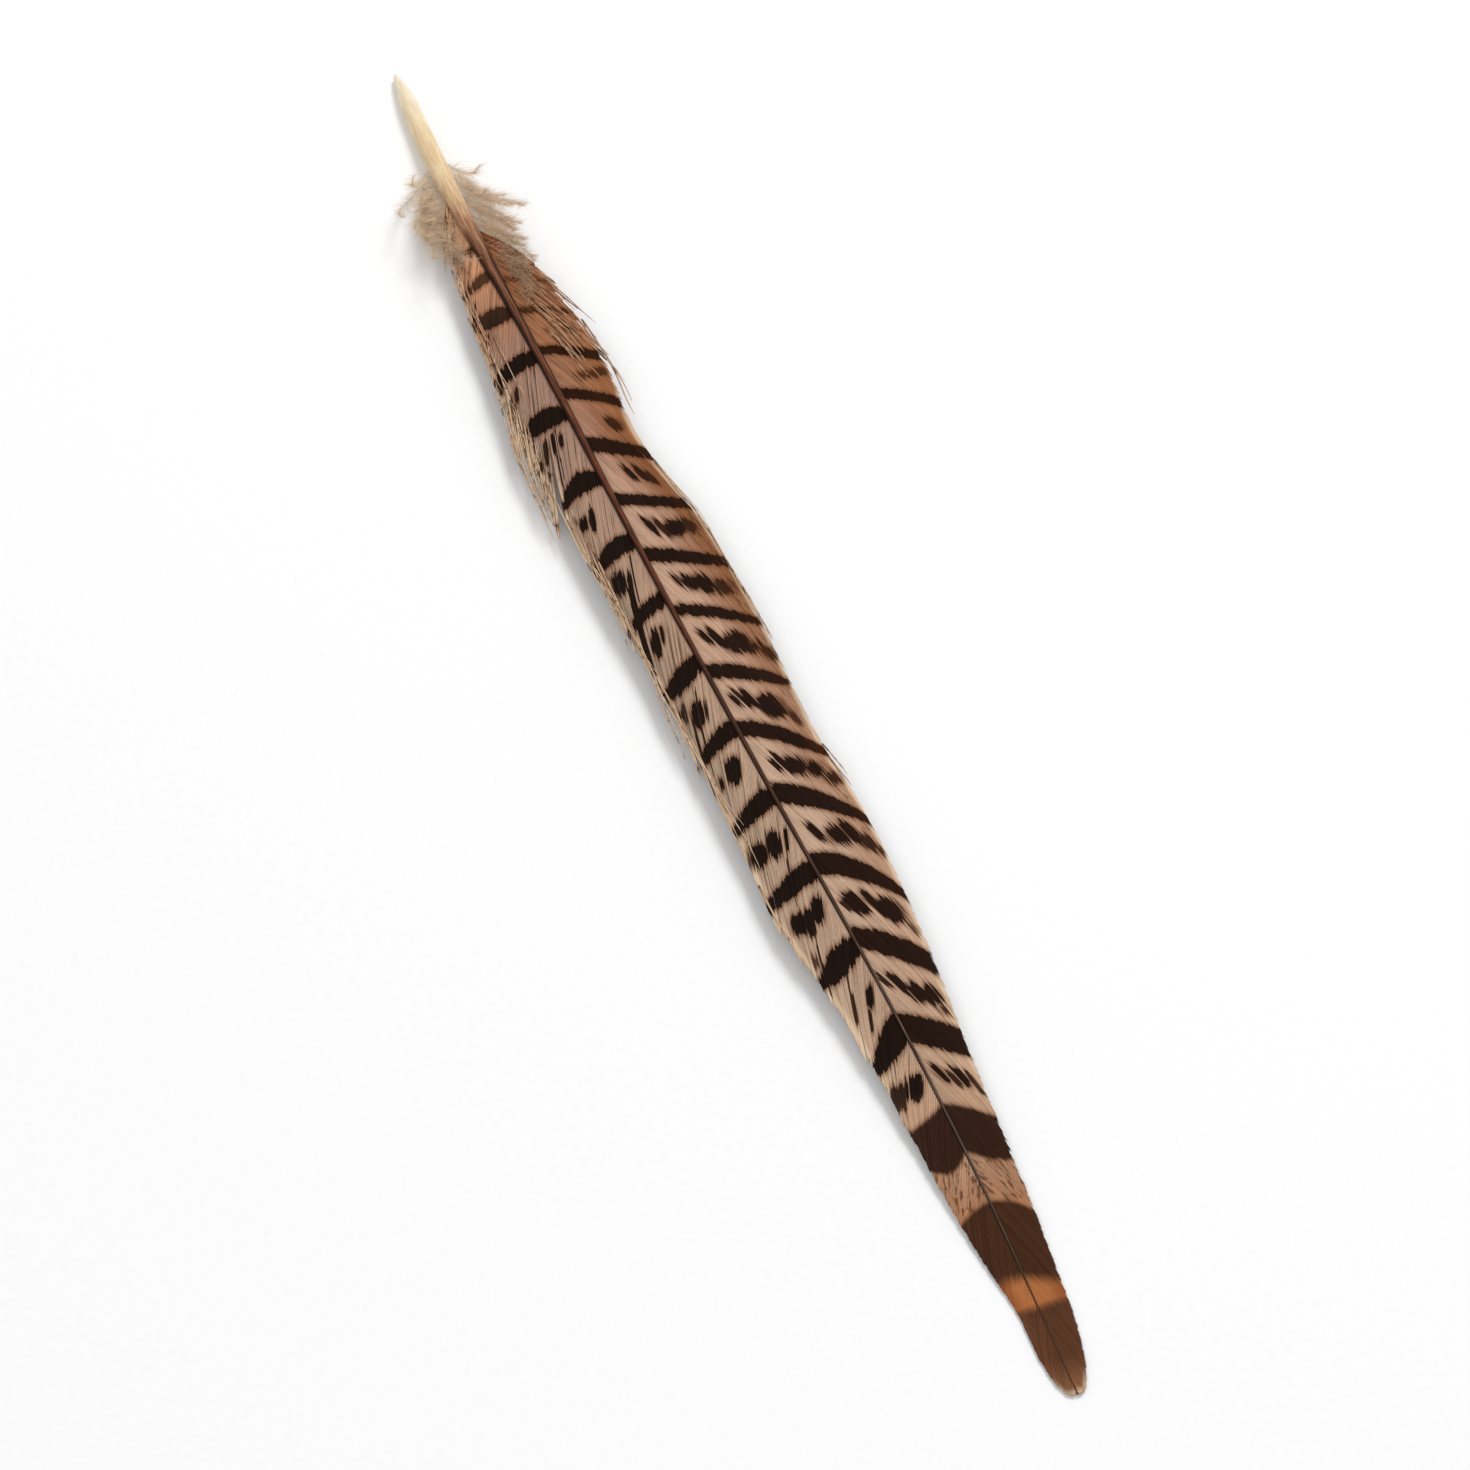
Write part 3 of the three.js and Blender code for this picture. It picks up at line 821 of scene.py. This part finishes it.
# Red, green and blue as the eye gives them, from 0 to 255.
BAR_BLACK = {"wide_vane": (44, 28, 21), "narrow_vane": (35, 24, 19)}
BAR_BROWN = (66, 35, 17)
BAND_BROWN = (60, 38, 28)
BAND_LATER = (78, 49, 34)
TIP_BROWN = (101, 65, 45)
TIP_WORN = (140, 96, 68)
FRINGE = (128, 78, 46)
ORANGE = (190, 122, 74)
ORANGE_DEEP = (162, 98, 58)
PEACH = (184, 140, 110)
# Painted shade in the slits between parted barbs.
SLIT_SHADE = (52, 36, 28)
GAP_FLECK = (100, 62, 40)
FLECK_BROWN = (84, 52, 34)
# The shaft's dark sides: partly their own colour, partly painted shade.
FLANK_BROWN_AND_SHADE = (34, 19, 13)
RIM_CREAM = (232, 206, 174)

# Ground colours between the marks, by distance from the quill's end: beside the shaft, and near the margin.
GROUNDS = {
    "wide_vane": (
        [(40, 150, 96, 62), (60, 180, 126, 90), (72, 178, 129, 99), (82, 190, 146, 122),
         (100, 208, 172, 148), (135, 207, 173, 148), (160, 214, 184, 159),
         (205, 196, 164, 140), (219, 196, 160, 132), (224, *PEACH), (234, *ORANGE)],
        [(40, 126, 74, 46), (64, 176, 120, 82), (92, 150, 98, 64), (115, 161, 111, 77),
         (140, 174, 132, 104), (165, 184, 146, 118), (185, 202, 168, 142),
         (205, 206, 174, 146), (219, 200, 158, 126), (224, *PEACH), (234, *ORANGE)],
    ),
    "narrow_vane": (
        [(36, 204, 164, 124), (44, 222, 166, 128), (56, 180, 130, 100), (68, 174, 138, 120),
         (92, 180, 147, 127), (126, 194, 161, 136), (150, 197, 167, 142),
         (190, 192, 162, 139), (219, 204, 166, 136), (224, *PEACH), (234, *ORANGE)],
        [(36, 192, 152, 114), (46, 212, 160, 124), (58, 168, 130, 106), (80, 158, 132, 114),
         (110, 166, 140, 120), (150, 176, 152, 130), (205, 202, 172, 146),
         (219, 196, 152, 118), (224, *PEACH), (234, *ORANGE)],
    ),
}


def vane_material(vane):
    """Barred cream and rufous barbs. The marks follow the barbs, so their edges are jagged barb by barb."""
    s = Shader(vane["name"] + "_barbs", roughness=0.8, specular=0.02)
    wide = vane["side"] > 0
    station, out, root, margin = s.attributes("station", "out", "root", "margin")
    bar_edge, blotch_edge, strength = s.attributes("bar", "blotch", "strength")
    chance, flock, seam, rim = s.attributes("chance", "flock", "seam", "rim")

    # Each barb changes colour a little before or after its neighbour, and groups of them do so together.
    few = s.noise(root, 1.4, station, 0.08, 1, 0.5, 3.3)
    group = s.noise(root, 0.45, station, 0.05, 2, 0.6)
    jag = s.add(s.swing(chance, 0.45), s.swing(few, 3), s.swing(group, 2.2))

    # The ground between the marks.
    beside_shaft, outward = GROUNDS[vane["name"]]
    slow = s.noise(root, 0.09, out, 0.35, 3, 0.6, 1.9)
    edge_share = s.step(margin, 8.5 if wide else 4.5, 1.4 if wide else 0.4)
    edge_share = s.math("ADD", edge_share, s.swing(slow, 1.1), clamp=True)
    ground = s.mix(edge_share, s.ramp(station, beside_shaft), s.ramp(station, outward))
    mottle = s.noise(root, 0.7, station, 0.35, 4, 0.65, 4.4)
    grain = s.noise(root, 3.2, station, 2.2, 2, 0.6, 7.7)
    foot = s.times(s.minus(chance, 0.5), s.step(station, 70, 50), 0.7 if wide else 0.3)
    noises = s.add(0.58, s.times(mottle, 0.3), s.times(grain, 0.32))
    ground = s.scale(ground, s.add(noises, s.times(chance, 0.14), s.times(flock, 0.1), foot))

    # Painted shade: dark lines along the barbs, where neighbours have drawn apart and the gaps between them
    # lie in shade.
    line = s.noise(root, 1.5, station, 0.05, 2, 0.6, 5.1)
    cluster = s.noise(root, 0.12, station, 0.04, 2, 0.5, 6.6)
    slit_shade = s.times(s.step(line, 0.53, 0.66), s.step(cluster, 0.36, 0.58))
    slit_shade = s.times(slit_shade, s.step(station, 224, 214), s.step(out, 0.3, 1.4), 0.32 if wide else 0.74)
    ground = s.mix(slit_shade, ground, SLIT_SHADE)

    # Flecks in the peach gap before the last bands, and along the frayed margins.
    speck = s.noise(root, 0.95, station, 0.5, 3, 0.6, 8.8)
    gap = s.between(station, 219.5, 227, 1)
    frayed = s.times(s.step(margin, 2.6, 0.8), s.between(station, 66, 96, 8), 0 if wide else 1)
    mottled = s.times(s.step(margin, 3.6, 1.4), s.between(station, 104, 166, 8), 0.55 if wide else 0)
    flecked = s.larger(s.times(gap, 0.8), s.larger(frayed, mottled))
    ground = s.mix(s.times(s.step(speck, 0.5, 0.64), flecked), ground, s.mix(gap, BAR_BROWN, GAP_FLECK))

    # The pale rim, stronger on some barbs, and the pale hairs of the frayed lock.
    pale_rim = s.times(s.step(margin, 0.95, 0.35), s.step(station, 216, 200))
    pale_rim = s.times(pale_rim, s.add(0.55, s.times(chance, 0.4)))
    pale_hair = s.times(frayed, s.step(chance, 0.35, 0.75), 0.6)
    ground = s.mix(s.larger(pale_rim, pale_hair), ground, RIM_CREAM)

    # The dark marks, each with a narrow brown fringe.
    browner = s.step(margin, 3.2, 0.4) if wide else s.times(s.step(margin, 1.4, 0.2), 0.5)
    basal = s.step(station, 104 if wide else 62, 52 if wide else 40)
    brown = s.larger(s.times(browner, s.step(station, 190, 150), 0.6), s.times(basal, 0.7))
    dark = s.mix(brown, BAR_BLACK[vane["name"]], BAR_BROWN)
    bands = s.step(station, 208, 210)
    dark = s.mix(bands, dark, s.mix(s.step(station, 220, 229), BAND_BROWN, BAND_LATER))
    dark = s.mix(s.step(station, 238, 247), dark, s.mix(s.step(station, 251, 257), TIP_BROWN, TIP_WORN))
    dark = s.scale(dark, s.add(0.78, s.times(chance, 0.24), s.times(mottle, 0.3)))
    off_bar = s.add(bar_edge, s.times(jag, s.mix_value(bands, 0.42 if wide else 0.5, 0.2)))
    off_blotch = s.add(blotch_edge, s.times(jag, 0.9), -0.14)
    bar = s.mix_value(bands, s.step(off_bar, 0.14, -0.14), s.step(off_bar, 0.45, -0.4))
    bar = s.times(bar, s.mix_value(s.step(station, 48, 66), 0.5 if wide else 0.8, 1))
    blotch = s.times(s.step(off_blotch, 0.2, -0.2), s.mix_value(0.5, strength, 1))
    off_mark = s.math("MINIMUM", off_bar, off_blotch)
    fringe = s.times(s.step(off_mark, 0.95, 0.05), 0.6, s.mix_value(bands, 1, 0.55))
    colour = s.mix(fringe, ground, FRINGE)
    weak = s.times(s.minus(1, strength), s.step(bar, 0.5, 0))
    colour = s.mix(s.larger(bar, blotch), colour, s.mix(weak, dark, BAR_BROWN))

    # The orange glow between the last two bands, and the pale worn rim of the tip.
    ragged = s.times(jag, 0.3)
    begins = s.add(s.minus(station, s.times(out, 0.5 if wide else 0)), ragged)
    glow = s.times(s.step(begins, 237.4, 239.9), s.step(s.add(station, ragged), 244.3, 242.3))
    colour = s.mix(glow, colour, s.mix(s.step(margin, 0.3, 2.2), ORANGE_DEEP, ORANGE))
    tip_edge = s.larger(s.step(margin, 0.7, 0.1), s.step(station, 256, 257.2))
    tip_rim = s.times(tip_edge, s.step(station, 253.5, 256.5), 0.6)
    colour = s.mix(tip_rim, colour, RIM_CREAM)

    # Painted shade: the grooves between barbs, between flocks of them and in the frayed lock are darkened
    # in the colour.
    groove_shade_strength = s.add(0.22, s.times(seam, 0.3 if wide else 0.7), s.times(frayed, 0.5))
    groove = s.times(s.math("POWER", rim, 2), groove_shade_strength)
    s.colour(s.mix(groove, colour, s.scale(colour, 0.32, 0.26, 0.22)))
    barbules = s.noise(root, 9, station, 7, 2, 0.6)
    s.bump(barbules, 0.00004, 0.5)
    return s.material


def shaft_material():
    """Ivory horn at the quill, then rufous brown with dark sides that are partly painted shade, and a dark
    line whose pale ridge is painted highlight.
    """
    s = Shader("shaft_horn", roughness=0.4, specular=0.12)
    station, around, upper = s.attributes("station", "around", "upper")
    grain = s.noise(station, 0.22, around, 3.5, 4, 0.6, 2.2)
    wobble = s.noise(station, 0.3, around, 1.5, 3)
    at = s.add(station, s.swing(wobble, 7))
    # The grey of the pale tones from 206 mm on is painted highlight along the shaft's ridge.
    pale = s.ramp(at, [
        (0, 250, 242, 224), (16, 240, 220, 182), (28, 234, 208, 168), (37, 196, 152, 116),
        (45, 154, 102, 72), (64, 136, 82, 50), (90, 146, 72, 36), (122, 138, 68, 34),
        (138, 108, 58, 34), (170, 106, 72, 54), (206, 134, 108, 92), (214, 142, 126, 116),
        (236, 132, 112, 98), (243, 112, 66, 38)])
    deep = s.ramp(at, [
        (0, 238, 222, 192), (16, 226, 198, 154), (28, 214, 180, 138), (37, 150, 104, 74),
        (45, 92, 54, 34), (64, 66, 34, 18), (90, 62, 28, 12), (122, 60, 28, 14),
        (138, 52, 28, 14), (206, 58, 38, 26), (240, 54, 34, 24)])
    colour = s.mix(s.step(grain, 0.3, 0.64), pale, deep)
    # Painted shade on the rod's sides, over their own darker edges.
    sides_dark_and_shaded = s.times(s.step(s.math("ABSOLUTE", s.add(around, 0.15)), 0.32, 0.66), s.step(station, 34, 50))
    colour = s.mix(s.times(sides_dark_and_shaded, 0.95), colour, FLANK_BROWN_AND_SHADE)
    under = s.step(upper, -0.1, -0.6)
    pale_under = s.mix(s.step(station, 40, 90), (232, 212, 176), (190, 162, 130))
    colour = s.mix(s.times(under, s.step(station, 30, 40)), colour, pale_under)
    s.colour(colour)
    lines = s.noise(station, 0.35, around, 16, 3, 0.6)
    s.put(s.add(0.3, s.times(lines, 0.24)), s.surface.inputs["Roughness"])
    s.bump(lines, 0.00012, 0.5)
    s.surface.inputs["Subsurface Weight"].default_value = 0.12
    s.surface.inputs["Subsurface Radius"].default_value = (0.0012, 0.0008, 0.0004)
    return s.material


def strand_material(name, pale, deep, root_colour, root_share, flecks):
    """Fine free strands, each its own shade between two colours, with flecks and a coloured root."""
    s = Shader(name, roughness=0.65, specular=0.2)
    chance, share, station = s.attributes("chance", "share", "station")
    shade = s.noise(station, 0.8, chance, 40, 2, 0.5)
    amount = s.math("ADD", s.times(chance, 0.7), s.swing(shade, 0.9), clamp=True)
    colour = s.mix(amount, s.ramp(station, pale), s.ramp(station, deep))
    colour = s.mix(s.times(s.step(share, root_share, 0), 0.7), colour, root_colour)
    spot = s.noise(station, 0.55, chance, 23, 2, 0.5, 3.7)
    colour = s.mix(s.times(s.step(spot, 0.56, 0.62), flecks), colour, FLECK_BROWN)
    s.colour(colour)
    s.bump(shade, 0.00003, 0.3)
    return s.material


# ---- the feather
def dress(piece, material):
    piece.data.materials.append(material)
    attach(piece, "root")
    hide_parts("feather")


def make_feather():
    dress(make_shaft(), shaft_material())
    for vane in (WIDE_VANE, NARROW_VANE):
        dress(make_vane(vane), vane_material(vane))
    hair = strand_material(
        "loose_barb_cream",
        [(40, 216, 178, 144), (60, 216, 172, 136), (74, 230, 204, 174), (LENGTH, 232, 208, 180)],
        [(40, 134, 84, 54), (60, 142, 86, 52), (74, 186, 144, 108), (LENGTH, 196, 156, 122)],
        root_colour=(120, 78, 52), root_share=0.25, flecks=0.75)
    dress(make_loose_barbs(), hair)
    soft = strand_material(
        "down_beige",
        [(20, 254, 240, 220), (36, 246, 224, 196), (58, 214, 178, 142)],
        [(20, 234, 210, 180), (36, 212, 182, 148), (58, 146, 108, 78)],
        root_colour=(218, 190, 156), root_share=0.15, flecks=0)
    for piece in make_down():
        dress(piece, soft)


# ---- the studio
# The camera, in mm and degrees: where it stands as seen from the feather, its lens, and what it looks at.
CAMERA_AZIMUTH = 69
CAMERA_ELEVATION = 47.8
CAMERA_DISTANCE = 800
CAMERA_LENS = 147
CAMERA_AIM = (143.5, -1, 3)


def make_camera():
    """A long lens, looking down on the feather from beyond its tip and to the side of the narrow vane."""
    a, e = math.radians(CAMERA_AZIMUTH), math.radians(CAMERA_ELEVATION)
    back = Vector((math.sin(a) * math.cos(e), -math.cos(a) * math.cos(e), math.sin(e)))
    data = bpy.data.cameras.new("camera")
    data.lens = CAMERA_LENS
    data.sensor_width = 36
    data.clip_start, data.clip_end = 0.05, 20
    camera = add_object("camera", data)
    camera.location = Vector(to_frame(CAMERA_AIM)) + back * CAMERA_DISTANCE * MM
    camera.rotation_euler = (-back).to_track_quat("-Z", "Y").to_euler()
    bpy.context.scene.camera = camera


def make_floor():
    """A wide pale table top, just below the feather."""
    size = 6
    mesh = bpy.data.meshes.new("floor")
    corners = [(-size, -size, 0), (size, -size, 0), (size, size, 0), (-size, size, 0)]
    mesh.from_pydata(corners, [], [(0, 1, 2, 3)])
    floor = add_object("floor", mesh)
    floor.location.z = -0.0001
    s = Shader("floor_paper", roughness=0.85, specular=0.1)
    where = s.node("TexCoord", {}).outputs["Object"]
    fine = s.node("TexNoise", {"Vector": where, "Scale": 900}).outputs[0]
    s.colour(s.mix(fine, (246, 246, 246), (250, 250, 250)))
    floor.data.materials.append(s.material)


def make_light(name, place, size, watts):
    """A round soft lamp, turned to the middle of the feather."""
    data = bpy.data.lights.new(name, "AREA")
    data.shape = "DISK"
    data.size = size
    data.energy = watts
    lamp = add_object(name, data)
    lamp.location = place
    lamp.rotation_euler = (-Vector(place)).to_track_quat("-Z", "Y").to_euler()


def make_studio():
    world = bpy.data.worlds.new("studio")
    bpy.context.scene.world = world
    world.use_nodes = True
    background = world.node_tree.nodes["Background"]
    background.inputs["Color"].default_value = (1, 1, 1, 1)
    background.inputs["Strength"].default_value = 0.55
    make_light("key", (-0.5, 0.55, 0.9), 0.5, 7)
    make_light("fill", (0.7, -0.5, 0.8), 0.7, 3)
    view = bpy.context.scene.view_settings
    view.view_transform, view.look = "Standard", "None"


make_camera()
make_floor()
make_studio()
make_feather()
